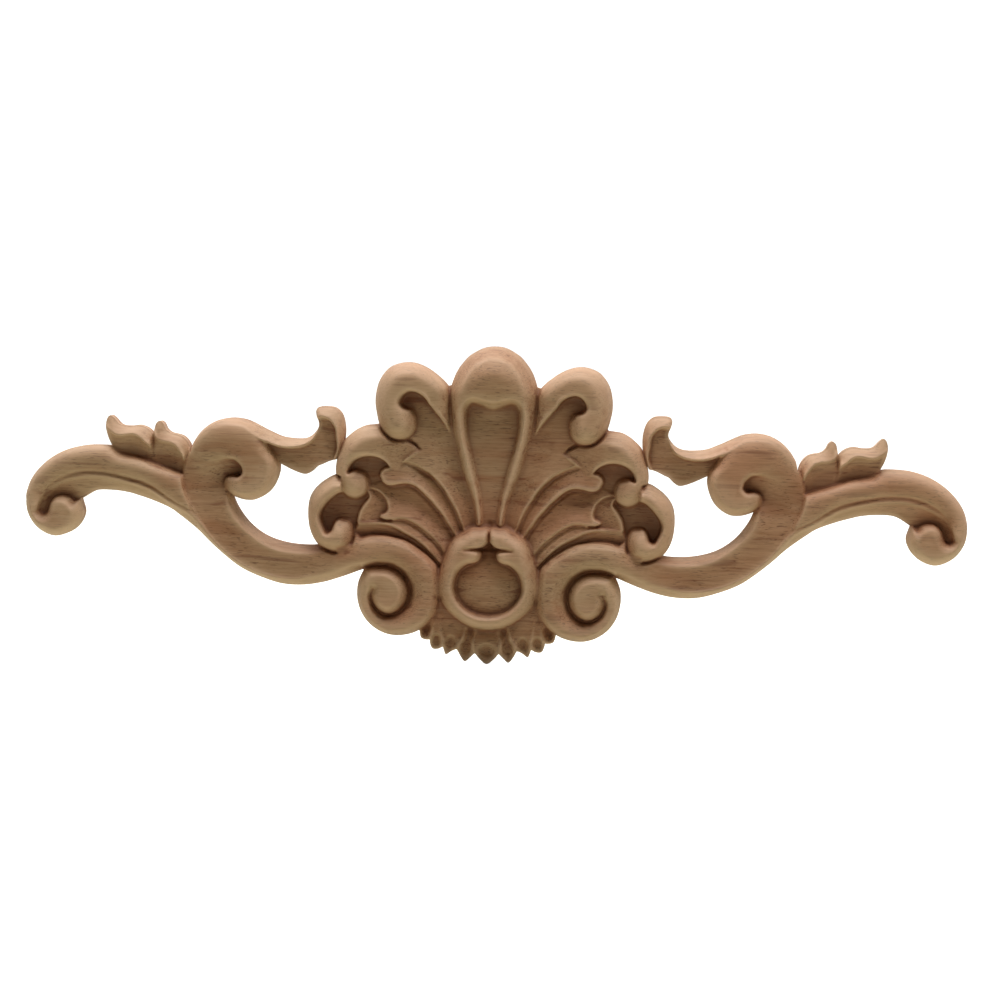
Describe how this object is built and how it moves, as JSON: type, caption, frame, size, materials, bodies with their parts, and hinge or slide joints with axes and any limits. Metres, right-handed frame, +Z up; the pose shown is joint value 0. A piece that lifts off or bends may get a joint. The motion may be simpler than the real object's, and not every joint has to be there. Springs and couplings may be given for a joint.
{
  "type": "carved floral applique",
  "caption": "Wide mirror-symmetric carved wood applique with a shell of petals and lobes, lower volutes, a ringed cartouche and scrolled leafy arms, flat at the back.",
  "frame": {"origin": "middle of the flat back, halfway across the width and halfway up the height", "axes": "+X along the width, +Z up towards the middle petal, +Y out of the flat back, so the carved front faces -Y"},
  "size_m": [0.4498, 0.0192, 0.1518],
  "materials": {
    "pale_wood": "unpainted fine-grained wood, pinkish tan, sanded and matte"
  },
  "bodies": {
    "root": {"carved_applique": "pale_wood"}
  },
  "joints": []
}
